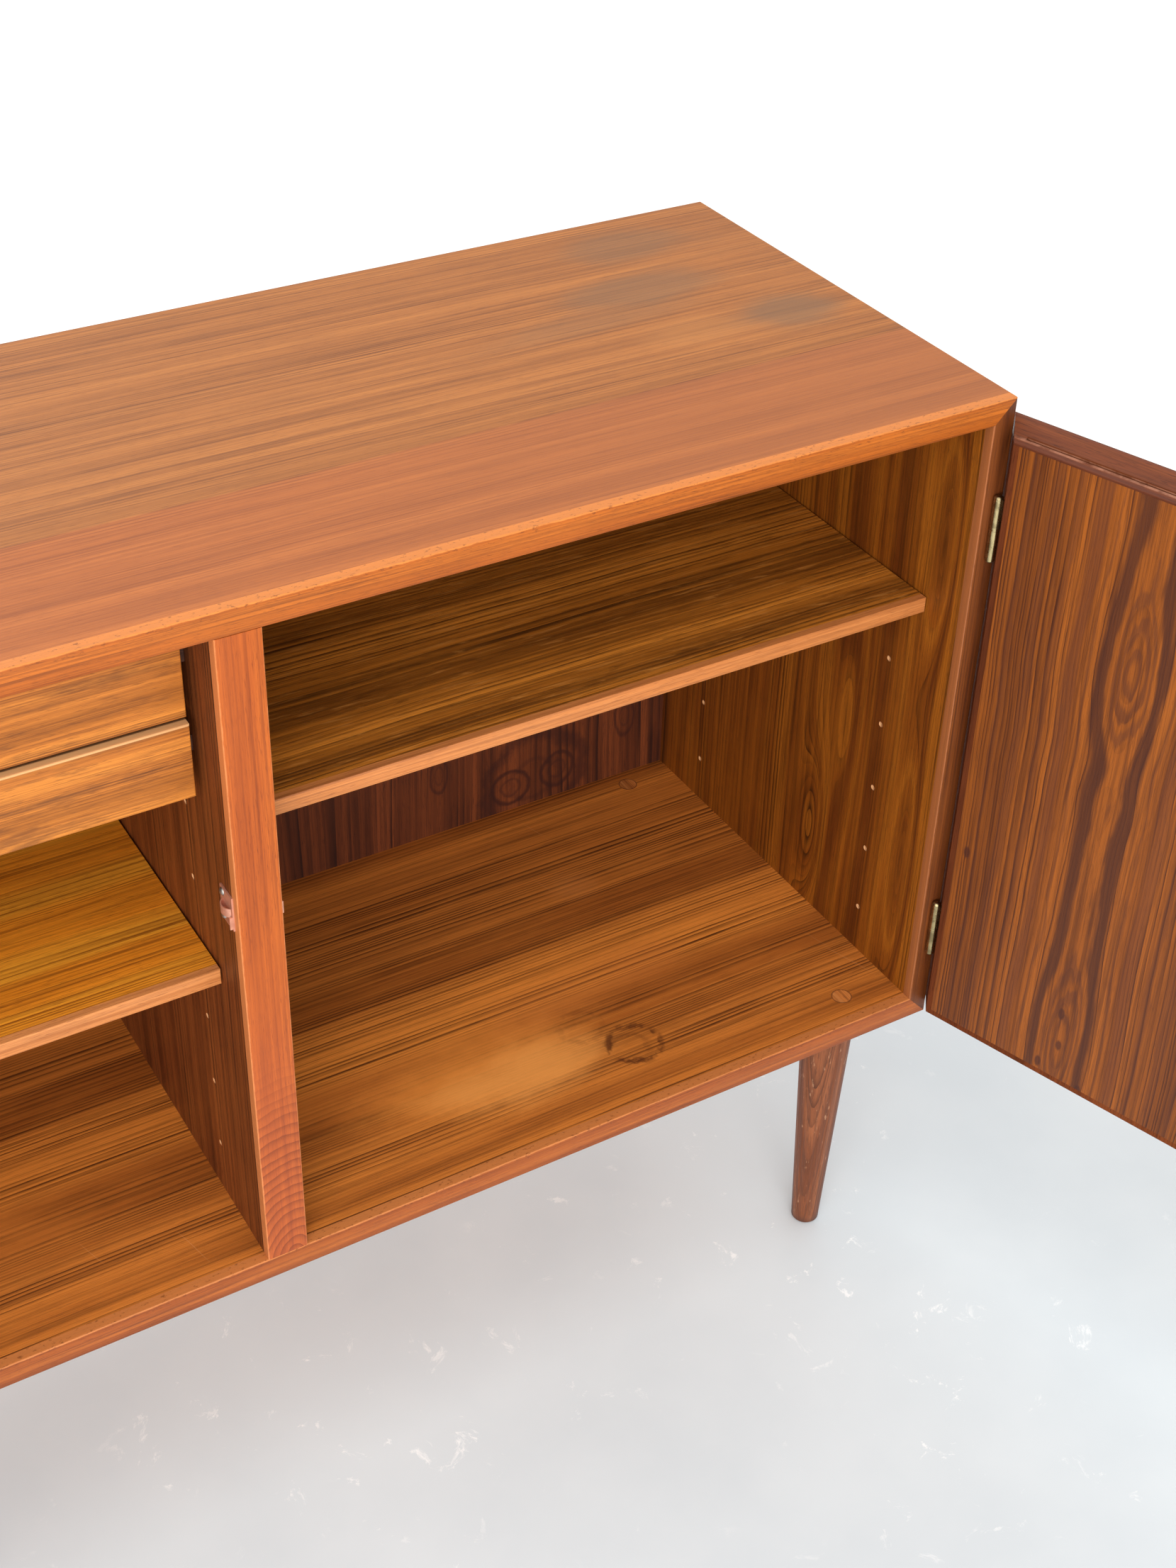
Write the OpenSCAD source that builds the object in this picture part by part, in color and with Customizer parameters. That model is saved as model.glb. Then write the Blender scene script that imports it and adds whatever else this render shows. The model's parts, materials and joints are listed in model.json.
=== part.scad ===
// Two-door teak sideboard buffet on turned legs: mitred case, one divider, two shallow
// drawers, two loose shelves on spoon pins and two doors on barrel hinges.
// Millimetres, +Z up. The origin is on the floor, under the middle of the case.

/* [Case] */
// Width of the case across its side faces
case_w = 1212; // [1000:1:1500]
// Depth of the case from front edge to back edge
case_d = 420; // [400:1:500]
// Height of the case without its legs
case_h = 590; // [560:1:640]
// Thickness of the top
top_t = 19; // [17:0.5:24]
// Thickness of each side
side_t = 18.5; // [17:0.5:24]
// Thickness of the bottom
bottom_t = 20.5; // [18:0.5:26]
// Thickness of the divider
divider_t = 32; // [30:0.5:38]
// Depth of the solid edging on the front of the case
edging_d = 9; // [6:0.5:14]
// Thickness of the back panel
back_t = 6; // [4:0.5:8]
// How far the back panel sits in from the back edge
back_inset = 6.5; // [5:0.5:12]

/* [Legs] */
// Free length of each leg
leg_len = 260; // [200:1:300]
// Leg diameter where it meets the case
leg_top_dia = 47; // [40:0.5:50]
// Leg diameter at the floor
leg_foot_dia = 25; // [22:0.5:34]
// Leg axis to the side face of the case
leg_in_x = 72; // [50:1:120]
// Leg axis to the front or back edge of the case
leg_in_y = 42; // [36:1:60]
// Diameter of the wooden plug over each leg bolt
plug_dia = 18; // [14:1:20]
// How far each plug and bolt lie outward of the leg axis
plug_out_x = 4; // [0:1:6]
// How far each plug and bolt lie towards the front or back of the leg axis
plug_out_y = 10; // [0:1:12]

/* [Shelves] */
// Thickness of a shelf
shelf_t = 13; // [12:0.5:16]
// Front of the right shelf behind the front of the case
right_shelf_in = 46; // [42:1:70]
// Front of the left shelf behind the front of the case
left_shelf_in = 40; // [38:1:70]
// Depth of the solid edging on a shelf
shelf_edging_d = 7; // [5:0.5:12]
// Radius of a shelf pin
pin_r = 2.5; // [2:0.1:3]
// Distance between two pin holes
pin_pitch = 65; // [50:1:70]
// First right pin hole below the top of the case
right_pin_top = 200; // [190:1:210]
// First left pin hole below the top of the case
left_pin_top = 194; // [190:1:210]

/* [Drawers] */
// Height of the upper drawer front
upper_h = 73.5; // [60:0.5:76]
// Height of the lower drawer front
lower_h = 57; // [50:0.5:60]
// Gap beside each drawer
drawer_gap = 7.5; // [6:0.5:10]
// Thickness of a drawer front
front_t = 14; // [12:0.5:18]
// Thickness of a drawer side
drawer_side_t = 10; // [9:0.5:12]
// Length of a drawer side
drawer_len = 345; // [300:1:350]

/* [Doors] */
// Thickness of a door
door_t = 19; // [18:0.5:22]
// How far the doors stand open
door_open = 108; // [0:1:112]
// Outer hinge corner of a door in from the side face
door_in = 2; // [1:0.5:5]
// Width of the slanted hinge edge of a door
door_slant = 13; // [10:0.5:14]
// Top of a door below the top of the case
door_top_in = 15; // [12:0.5:18]
// Bottom of a door above the underside of the case
door_bottom_in = 12; // [8:0.5:16]
// Height of the shaped rail along the top of a door
rail_h = 15; // [14:0.5:24]

/* [Hinges] */
// Radius of a hinge barrel
barrel_r = 3.7; // [3.4:0.1:4]
// Length of a hinge barrel
barrel_len = 56; // [50:1:64]
// Hinge axis in from the side face
hinge_in = 7.8; // [7.5:0.1:8.5]
// Hinge axis in front of the case
hinge_out = 4.2; // [4.1:0.1:4.6]
// Middle of the upper hinge below the top of the case
hinge_upper = 104; // [90:1:140]
// Middle of the lower hinge below the top of the case
hinge_lower = 490; // [450:1:510]

/* [Hidden] */
$fn = 64;
half_w = case_w / 2;
total_h = leg_len + case_h;
front_y = -case_d / 2;
back_y = case_d / 2;
bay_in = divider_t / 2;
bay_out = half_w - side_t;
bay_w = bay_out - bay_in;
floor_z = leg_len + bottom_t;
ceil_z = total_h - top_t;
back_face = back_y - back_inset - back_t;
bolt_r = 3;
bolt_head_r = 6;
bolt_head_t = 4;
bolt_bite = 40;
bolt_x = half_w - leg_in_x + plug_out_x;
bolt_y = case_d / 2 - leg_in_y + plug_out_y;
plug_t = 5;
plug_z = floor_z - plug_t;
door_gap = 0.6;
door_back = front_y - door_gap;
door_face = door_back - door_t;
door_top = total_h - door_top_in;
door_base = leg_len + door_bottom_in;
door_hinge_x = half_w - door_in;
door_free_x = 1;
door_edging = 5;
axis_x = half_w - hinge_in;
axis_y = front_y - hinge_out;
hinge_pin_r = 2;
ring_t = 1.6;
knuckle = (barrel_len - ring_t) / 2;
leaf_t = 2;
leaf_w = 24;
pin_hole = pin_r + 0.05;
pin_front = front_y + 83;
pin_back = front_y + 339;
pin_rows = 6;
shelf_gap = 1.6;
shelf_back = back_face - 8;
right_seat = total_h - right_pin_top;
left_seat = total_h - left_pin_top - 2 * pin_pitch;
upper_y = front_y + 40;
lower_y = front_y + 36.5;
upper_z = total_h - 96.5;
lower_z = total_h - 157;
runner_h = 12;
runner_fit = 0.4;
runner_bite = 5;
catch_z = total_h - 239;
catch_y = front_y + 17;
eps = 0.01;

// Part to show

teak = [0.55, 0.33, 0.18];
teak_edge = [0.72, 0.42, 0.18];
teak_dark = [0.34, 0.18, 0.11];
teak_pale = [0.66, 0.48, 0.30];
brass = [0.62, 0.53, 0.34];
steel = [0.70, 0.70, 0.68];
copper = [0.66, 0.38, 0.26];

// A box from its lowest corner to its highest corner
module span(a, b) {
    translate(a) cube([b[0] - a[0], b[1] - a[1], b[2] - a[2]]);
}

// A shape drawn in front view, as deep as y0 to y1
module across(y0, y1) {
    translate([0, y1, 0]) rotate([90, 0, 0]) linear_extrude(height = y1 - y0) children();
}

// The same thing on both sides of the middle
module both() {
    children();
    mirror([1, 0, 0]) children();
}

// ---------- case ----------
module top_outline() {
    polygon([[-half_w, total_h], [-bay_out, ceil_z], [bay_out, ceil_z], [half_w, total_h]]);
}

module bottom_outline() {
    polygon([[-half_w, leg_len], [half_w, leg_len], [bay_out, floor_z], [-bay_out, floor_z]]);
}

module side_outline() {
    polygon([[half_w, leg_len], [half_w, total_h], [bay_out, ceil_z], [bay_out, floor_z]]);
}

module back_sheet() {
    span([-bay_out - 6, back_face, floor_z - 6], [bay_out + 6, back_face + back_t, ceil_z + 6]);
}

module pin_column(x, y, top) {
    for (i = [0:pin_rows - 1])
        translate([x, y, total_h - top - i * pin_pitch])
            rotate([0, 90, 0]) cylinder(r = pin_hole, h = 9, $fn = 24);
}

module pin_holes(x, top) {
    pin_column(x, pin_front, top);
    pin_column(x, pin_back, top);
}

module leaf_slots() {
    for (z = [hinge_upper, hinge_lower])
        span([axis_x - leaf_t / 2 - 0.1, front_y - 1, total_h - z - barrel_len / 2 - 0.2],
            [axis_x + leaf_t / 2 + 0.1, axis_y + leaf_w + 0.2, total_h - z - ring_t / 2 + 0.2]);
}

module top_panel() {
    color(teak) difference() {
        across(front_y + edging_d, back_y) top_outline();
        back_sheet();
    }
}

module top_edging() {
    color(teak_edge) across(front_y, front_y + edging_d) top_outline();
}

module side_panel() {
    difference() {
        across(front_y + edging_d, back_y) side_outline();
        back_sheet();
        leaf_slots();
    }
}

module side_edging() {
    difference() {
        across(front_y, front_y + edging_d) side_outline();
        leaf_slots();
    }
}

module side_right() {
    color(teak) difference() {
        side_panel();
        pin_holes(bay_out - eps, right_pin_top);
    }
}

module side_right_edging() {
    color(teak_edge) side_edging();
}

module side_left() {
    color(teak) mirror([1, 0, 0]) difference() {
        side_panel();
        pin_holes(bay_out - eps, left_pin_top);
    }
}

module side_left_edging() {
    color(teak_edge) mirror([1, 0, 0]) side_edging();
}

module bolt_spots() {
    for (x = [-1, 1], y = [-1, 1])
        translate([x * bolt_x, y * bolt_y, 0]) children();
}

module bottom_panel() {
    color(teak) difference() {
        across(front_y + edging_d, back_y) bottom_outline();
        back_sheet();
        bolt_spots() {
            translate([0, 0, leg_len - 1]) cylinder(r = bolt_r + 0.1, h = bottom_t + 2);
            translate([0, 0, plug_z - bolt_head_t - 0.5]) cylinder(r = bolt_head_r + 0.2, h = bottom_t);
            translate([0, 0, plug_z]) cylinder(r = plug_dia / 2 + 0.05, h = plug_t + 1);
        }
    }
}

module bottom_edging() {
    color(teak_edge) across(front_y, front_y + edging_d) bottom_outline();
}

module divider() {
    color(teak) difference() {
        span([-bay_in, front_y + edging_d, floor_z], [bay_in, back_face, ceil_z]);
        pin_holes(bay_in - 9 + eps, right_pin_top);
        pin_holes(-bay_in - eps, left_pin_top);
        back_screw_spots() translate([0, 0, -16]) cylinder(r = 1.8, h = 17, $fn = 24);
    }
}

module divider_edging() {
    color(teak_edge) span([-bay_in, front_y, floor_z], [bay_in, front_y + edging_d, ceil_z]);
}

module back_screw_spots() {
    for (z = [0.06, 0.35, 0.65, 0.94])
        translate([0, back_face, floor_z + z * (ceil_z - floor_z)]) rotate([-90, 0, 0]) children();
}

module back_panel() {
    color(teak_dark) difference() {
        back_sheet();
        back_screw_spots() translate([0, 0, -1]) cylinder(r = 1.8, h = back_t + 2, $fn = 24);
    }
}

module back_screws() {
    color(steel) back_screw_spots() {
        translate([0, 0, -14]) cylinder(r = 1.7, h = back_t + 14.5, $fn = 24);
        translate([0, 0, back_t]) cylinder(r = 3.4, h = 1.4, $fn = 32);
    }
}

// ---------- legs ----------
module leg_at(x, y) {
    color(teak_dark) difference() {
        translate([x * (half_w - leg_in_x), y * (case_d / 2 - leg_in_y), 0]) rotate_extrude($fn = 96)
            polygon([[0, 0], [leg_foot_dia / 2 - 1.5, 0], [leg_foot_dia / 2, 1.8],
                [leg_top_dia / 2, leg_len - 3], [leg_top_dia / 2 - 0.6, leg_len], [0, leg_len]]);
        translate([x * bolt_x, y * bolt_y, leg_len - bolt_bite - 1])
            cylinder(r = bolt_r + 0.05, h = bolt_bite + 2);
    }
}

module leg_front_right() {
    leg_at(1, -1);
}

module leg_front_left() {
    leg_at(-1, -1);
}

module leg_back_right() {
    leg_at(1, 1);
}

module leg_back_left() {
    leg_at(-1, 1);
}

module leg_bolts() {
    color(steel) bolt_spots() {
        translate([0, 0, leg_len - bolt_bite]) cylinder(r = bolt_r, h = bolt_bite + plug_z - leg_len - 0.5);
        translate([0, 0, plug_z - bolt_head_t - 0.5]) cylinder(r = bolt_head_r, h = bolt_head_t);
    }
}

module leg_plugs() {
    color(teak) bolt_spots() translate([0, 0, plug_z]) cylinder(r = plug_dia / 2, h = plug_t);
}

// ---------- shelves ----------
module spoon() {
    rotate([0, 90, 0]) translate([0, 0, -8]) cylinder(r = pin_r, h = 8, $fn = 24);
    rotate([0, 90, 0]) cylinder(r = 4.5, h = 1.2, $fn = 32);
    span([0, -4, -2], [11, 4, 0]);
}

module spoons(x_in, x_out, z) {
    for (y = [pin_front, pin_back]) {
        translate([x_in, y, z]) spoon();
        translate([x_out, y, z]) mirror([1, 0, 0]) spoon();
    }
}

module shelf_pins() {
    color(steel) {
        spoons(bay_in, bay_out, right_seat);
        spoons(-bay_out, -bay_in, left_seat);
    }
}

module shelf_board(x0, x1, inset, seat) {
    color(teak) span([x0 + shelf_gap, front_y + inset + shelf_edging_d, seat + 0.05],
        [x1 - shelf_gap, shelf_back, seat + shelf_t]);
}

module shelf_lip(x0, x1, inset, seat) {
    color(teak_edge) span([x0 + shelf_gap, front_y + inset, seat + 0.05],
        [x1 - shelf_gap, front_y + inset + shelf_edging_d, seat + shelf_t]);
}

module shelf_right() {
    shelf_board(bay_in, bay_out, right_shelf_in, right_seat);
}

module shelf_right_edging() {
    shelf_lip(bay_in, bay_out, right_shelf_in, right_seat);
}

module shelf_left() {
    shelf_board(-bay_out, -bay_in, left_shelf_in, left_seat);
}

module shelf_left_edging() {
    shelf_lip(-bay_out, -bay_in, left_shelf_in, left_seat);
}

// ---------- drawers ----------
drawer_x0 = -bay_out + drawer_gap;
drawer_x1 = -bay_in - drawer_gap;

module drawer_front(y, z, h) {
    color(teak_edge) difference() {
        span([drawer_x0, y, z], [drawer_x1, y + front_t, z + h]);
        span([drawer_x0 + drawer_side_t - 4, y + front_t - 5, z + 5],
            [drawer_x1 - drawer_side_t + 4, y + front_t + 1, z + 9.1]);
    }
}

module drawer_side(y, z, h) {
    y0 = y + front_t;
    y1 = y0 + drawer_len;
    groove = runner_h / 2 + runner_fit;
    difference() {
        span([drawer_x0, y0, z], [drawer_x0 + drawer_side_t, y1, z + h - 4]);
        span([drawer_x0 - 1, y0 - 1, z + h / 2 - groove],
            [drawer_x0 + runner_bite + runner_fit, y1 + 1, z + h / 2 + groove]);
        span([drawer_x0 + drawer_side_t - 4, y0 - 1, z + 5],
            [drawer_x0 + drawer_side_t + 1, y1 + 1, z + 9.1]);
    }
}

module drawer_sides(y, z, h) {
    color(teak_pale) {
        drawer_side(y, z, h);
        translate([drawer_x0 + drawer_x1, 0, 0]) mirror([1, 0, 0]) drawer_side(y, z, h);
    }
}

module drawer_back(y, z, h) {
    color(teak_pale) span([drawer_x0 + drawer_side_t, y + front_t + drawer_len - 10, z + 9.2],
        [drawer_x1 - drawer_side_t, y + front_t + drawer_len, z + h - 7]);
}

module drawer_bottom(y, z) {
    color(teak_pale) span([drawer_x0 + drawer_side_t - 3.8, y + front_t - 4.8, z + 5.1],
        [drawer_x1 - drawer_side_t + 3.8, y + front_t + drawer_len, z + 9]);
}

module drawer_upper_front() {
    drawer_front(upper_y, upper_z, upper_h);
}

module drawer_upper_sides() {
    drawer_sides(upper_y, upper_z, upper_h);
}

module drawer_upper_back() {
    drawer_back(upper_y, upper_z, upper_h);
}

module drawer_upper_bottom() {
    drawer_bottom(upper_y, upper_z);
}

module drawer_lower_front() {
    drawer_front(lower_y, lower_z, lower_h);
}

module drawer_lower_sides() {
    drawer_sides(lower_y, lower_z, lower_h);
}

module drawer_lower_back() {
    drawer_back(lower_y, lower_z, lower_h);
}

module drawer_lower_bottom() {
    drawer_bottom(lower_y, lower_z);
}

module runner(z) {
    difference() {
        span([-bay_out, upper_y + front_t + 2, z - runner_h / 2],
            [drawer_x0 + runner_bite, upper_y + front_t + drawer_len - 20, z + runner_h / 2]);
        runner_holes(z) cylinder(r = 2, h = 40, $fn = 24);
    }
}

module runner_holes(z) {
    for (y = [40, 170, 300])
        translate([drawer_x0 + runner_bite + 1, upper_y + front_t + y, z]) rotate([0, -90, 0]) children();
}

module runner_levels() {
    runner_pair(upper_z + upper_h / 2) children();
    runner_pair(lower_z + lower_h / 2) children();
}

module runner_pair(z) {
    translate([0, 0, z]) children();
    translate([-bay_out - bay_in, 0, z]) mirror([1, 0, 0]) children();
}

module drawer_runners() {
    color(teak_dark) runner_levels() runner(0);
}

module runner_screws() {
    color(steel) runner_levels() runner_holes(0) translate([0, 0, 2]) cylinder(r = 1.9, h = 11.4, $fn = 24);
}

// ---------- hinges ----------
module knuckle_round(r, h) {
    rotate_extrude($fn = 48)
        polygon([[0, 0], [r, 0], [r, h - 1.6], [r - 0.5, h - 0.7], [r - 1.5, h], [0, h]]);
}

// Frame half: lower knuckle with its pin and the leaf that goes into the side
module frame_half(z) {
    translate([axis_x, axis_y, z]) {
        translate([0, 0, -ring_t / 2]) mirror([0, 0, 1]) knuckle_round(barrel_r, knuckle);
        translate([0, 0, -2]) cylinder(r = hinge_pin_r, h = 2 + knuckle - 4, $fn = 32);
        span([-leaf_t / 2, 0, -ring_t / 2 - knuckle + 2], [leaf_t / 2, leaf_w, -ring_t / 2 - 0.5]);
    }
}

// Door half, drawn with the door shut: upper knuckle, bored for the pin, and its leaf
module door_half(z) {
    translate([axis_x, axis_y, z]) difference() {
        union() {
            translate([0, 0, ring_t / 2 + 0.1]) knuckle_round(barrel_r, knuckle);
            span([-leaf_w, -leaf_t / 2, ring_t / 2 + 0.6], [0, leaf_t / 2, ring_t / 2 + knuckle - 2]);
        }
        cylinder(r = hinge_pin_r + 0.05, h = knuckle - 3, $fn = 32);
    }
}

module hinge_frame_halves() {
    color(brass) both() for (z = [hinge_upper, hinge_lower]) frame_half(total_h - z);
}

module hinge_rings() {
    color(brass) both() for (z = [hinge_upper, hinge_lower])
        translate([axis_x, axis_y, total_h - z]) rotate_extrude($fn = 48)
            polygon([[hinge_pin_r + 0.05, -ring_t / 2], [barrel_r, -ring_t / 2],
                [barrel_r + 0.12, 0], [barrel_r, ring_t / 2], [hinge_pin_r + 0.05, ring_t / 2]]);
}

// ---------- doors, drawn shut and then swung open ----------
module swung() {
    translate([axis_x, axis_y, 0]) rotate([0, 0, door_open]) translate([-axis_x, -axis_y, 0]) children();
}

module door_plan(x0, x1) {
    slope = door_slant / door_t;
    polygon([[x0, door_back], [x0, door_face], [x1, door_face], [x1 - slope * door_t, door_back]]);
}

module door_leaf_slots() {
    for (z = [hinge_upper, hinge_lower])
        span([axis_x - leaf_w - 0.2, axis_y - leaf_t / 2 - 0.1, total_h - z + ring_t / 2 + 0.3],
            [axis_x, axis_y + leaf_t / 2 + 0.1, total_h - z + ring_t / 2 + knuckle + 0.3]);
}

module door_panel() {
    color(teak) difference() {
        translate([0, 0, door_base + door_edging])
            linear_extrude(height = door_top - rail_h - door_base - door_edging)
                door_plan(door_free_x + door_edging, door_hinge_x - door_edging);
        door_leaf_slots();
        strike_spots() translate([0, 0, -1]) cylinder(r = 1.25, h = 9, $fn = 24);
    }
}

module door_edging() {
    color(teak_edge) difference() {
        translate([0, 0, door_base])
            linear_extrude(height = door_top - rail_h - door_base) door_plan(door_free_x, door_hinge_x);
        translate([0, 0, door_base + door_edging]) linear_extrude(height = door_top)
            door_plan(door_free_x + door_edging, door_hinge_x - door_edging);
        door_leaf_slots();
    }
}

// Section of the top rail: a thin front lip, a coved slope, a finger groove and a bevelled back edge
module rail_section() {
    z0 = door_top - rail_h;
    polygon([[door_back, z0], [door_back, door_top - 13.4], [door_back - 2.8, door_top - 10.4],
        [door_back - 4.4, door_top - 10.2], [door_back - 6.6, door_top - 8.6],
        [door_back - 9.5, door_top - 5.4], [door_back - 13, door_top - 2.4],
        [door_back - 16.4, door_top - 0.7], [door_back - 18, door_top],
        [door_face, door_top], [door_face, z0]]);
}

module door_rail() {
    color(teak_edge) difference() {
        intersection() {
            translate([door_free_x, 0, 0]) rotate([90, 0, 90])
                linear_extrude(height = door_hinge_x - door_free_x) rail_section();
            linear_extrude(height = total_h) door_plan(door_free_x, door_hinge_x);
        }
        span([door_free_x + 12, door_back - 6.4, door_top - 13],
            [door_hinge_x - 20, door_back - 4.2, door_top]);
    }
}

module strike_spots() {
    for (z = [-10, 10])
        translate([bay_in + 9.5, door_back, catch_z + z]) rotate([90, 0, 0]) children();
}

module door_strike() {
    color(steel) difference() {
        union() {
            span([bay_in + 4, door_back, catch_z - 15], [bay_in + 15, door_back + 1.4, catch_z + 15]);
            translate([bay_in + 9.5, door_back + 1, catch_z])
                rotate([-90, 0, 0]) cylinder(r = 1.8, h = 15, $fn = 24);
            translate([bay_in + 9.5, door_back + 16, catch_z]) sphere(r = 2.8, $fn = 32);
        }
        strike_spots() translate([0, 0, -3]) cylinder(r = 1.3, h = 4, $fn = 24);
    }
}

module door_strike_screws() {
    color(steel) strike_spots() {
        translate([0, 0, -1.4]) cylinder(r = 1.2, h = 9, $fn = 24);
        translate([0, 0, -2.2]) cylinder(r = 2.4, h = 0.8, $fn = 32);
    }
}

module door_hinges() {
    color(brass) for (z = [hinge_upper, hinge_lower]) door_half(total_h - z);
}

module door_right_panel() {
    swung() door_panel();
}

module door_right_rail() {
    swung() door_rail();
}

module door_right_edging() {
    swung() door_edging();
}

module door_right_hinges() {
    swung() door_hinges();
}

module door_right_strike() {
    swung() door_strike();
}

module door_right_strike_screws() {
    swung() door_strike_screws();
}

module door_left_panel() {
    mirror([1, 0, 0]) swung() door_panel();
}

module door_left_rail() {
    mirror([1, 0, 0]) swung() door_rail();
}

module door_left_edging() {
    mirror([1, 0, 0]) swung() door_edging();
}

module door_left_hinges() {
    mirror([1, 0, 0]) swung() door_hinges();
}

module door_left_strike() {
    mirror([1, 0, 0]) swung() door_strike();
}

module door_left_strike_screws() {
    mirror([1, 0, 0]) swung() door_strike_screws();
}

// ---------- catches on the divider ----------
module catch_holes() {
    for (z = [-10, 10])
        translate([bay_in, catch_y + 6, catch_z + z]) rotate([0, 90, 0]) children();
}

module catch_plates() {
    color(copper) both() difference() {
        union() {
            span([bay_in, catch_y - 9.5, catch_z - 14], [bay_in + 1.2, catch_y + 10, catch_z + 14]);
            span([bay_in, catch_y - 9.5, catch_z - 12], [bay_in + 3.4, catch_y - 8.3, catch_z - 2]);
        }
        catch_holes() translate([0, 0, -1]) cylinder(r = 1.3, h = 4, $fn = 24);
    }
}

module catch_springs() {
    color(copper) both() translate([bay_in + 1.2 - 4.6, catch_y, catch_z - 3.5]) difference() {
        cylinder(r = 8.6, h = 7, $fn = 64);
        translate([0, 0, -1]) cylinder(r = 7.9, h = 9, $fn = 64);
        translate([-10, -10, -1]) cube([14.6, 20, 9]);
    }
}

module catch_screws() {
    color(steel) both() catch_holes() {
        translate([0, 0, 1.2]) intersection() {
            translate([0, 0, -1.4]) sphere(r = 3.4, $fn = 32);
            cylinder(r = 4, h = 4, $fn = 32);
        }
        cylinder(r = 1.2, h = 1.3, $fn = 24);
    }
}

top_panel();
top_edging();
side_right();
side_right_edging();
side_left();
side_left_edging();
bottom_panel();
bottom_edging();
divider();
divider_edging();
back_panel();
back_screws();
leg_front_right();
leg_front_left();
leg_back_right();
leg_back_left();
leg_bolts();
leg_plugs();
drawer_runners();
runner_screws();
shelf_right();
shelf_right_edging();
shelf_left();
shelf_left_edging();
shelf_pins();
hinge_frame_halves();
hinge_rings();
catch_plates();
catch_springs();
catch_screws();
door_right_panel();
door_right_rail();
door_right_edging();
door_right_hinges();
door_right_strike();
door_right_strike_screws();
door_left_panel();
door_left_rail();
door_left_edging();
door_left_hinges();
door_left_strike();
door_left_strike_screws();
drawer_upper_front();
drawer_upper_sides();
drawer_upper_back();
drawer_upper_bottom();
drawer_lower_front();
drawer_lower_sides();
drawer_lower_back();
drawer_lower_bottom();
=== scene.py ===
"""Looks of the teak sideboard: softened copies of its wooden pieces, wood finishes, worn metal,
a pale floor and the camera. Metres, +Z up, the origin on the floor under the middle of the case."""
import json
import math

import bmesh
import bpy
from mathutils import Matrix, Vector

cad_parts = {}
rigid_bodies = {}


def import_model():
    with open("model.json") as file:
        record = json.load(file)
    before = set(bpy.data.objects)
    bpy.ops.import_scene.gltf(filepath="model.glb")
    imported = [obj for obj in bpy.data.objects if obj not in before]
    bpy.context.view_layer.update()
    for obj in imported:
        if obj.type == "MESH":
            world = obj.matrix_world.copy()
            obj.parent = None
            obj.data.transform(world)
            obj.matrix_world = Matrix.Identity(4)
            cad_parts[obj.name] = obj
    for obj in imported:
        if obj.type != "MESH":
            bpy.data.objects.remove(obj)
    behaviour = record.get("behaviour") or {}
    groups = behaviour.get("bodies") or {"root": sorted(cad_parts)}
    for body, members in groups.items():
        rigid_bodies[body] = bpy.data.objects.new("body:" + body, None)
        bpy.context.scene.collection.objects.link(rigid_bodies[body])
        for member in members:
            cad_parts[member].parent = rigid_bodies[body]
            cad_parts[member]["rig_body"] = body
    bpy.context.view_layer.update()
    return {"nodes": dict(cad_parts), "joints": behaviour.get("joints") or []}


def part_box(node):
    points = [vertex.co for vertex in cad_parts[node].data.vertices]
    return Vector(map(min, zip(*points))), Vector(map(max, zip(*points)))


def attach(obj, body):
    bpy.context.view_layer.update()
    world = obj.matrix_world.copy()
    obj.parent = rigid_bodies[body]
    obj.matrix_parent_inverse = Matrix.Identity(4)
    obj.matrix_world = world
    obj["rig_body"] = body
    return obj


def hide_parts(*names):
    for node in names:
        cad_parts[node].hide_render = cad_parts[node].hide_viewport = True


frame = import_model()

MM = 0.001
SIDE_THICK = 18.5 * MM
RIDGE_BELOW_TOP = 10.3 * MM
HOLE_DEPTHS = (0.3 * MM, 9.4 * MM)
X, Y, Z = (1, 0, 0), (0, 1, 0), (0, 0, 1)

# screen colours that more than one surface shares
BARE_CORE = (222, 168, 118)

# ---------- where things are, read from the frame ----------
TOP_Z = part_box("top_edging")[1].z
CEILING_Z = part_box("top_edging")[0].z
FRONT_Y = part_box("top_edging")[0].y
BACK_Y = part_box("top_panel")[1].y
RIGHT_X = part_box("side_right")[1].x
BAY_FLOOR_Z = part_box("bottom_panel")[1].z
CASE_BASE_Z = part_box("bottom_panel")[0].z
DIVIDER_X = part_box("divider")[1].x
SHELF_LOW, SHELF_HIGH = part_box("shelf_right")
HINGE_RIGHT = next(j for j in frame["joints"] if j["name"] == "door_right_hinge")
DOOR_OPEN = math.radians(-HINGE_RIGHT["range_deg"][0])


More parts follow.
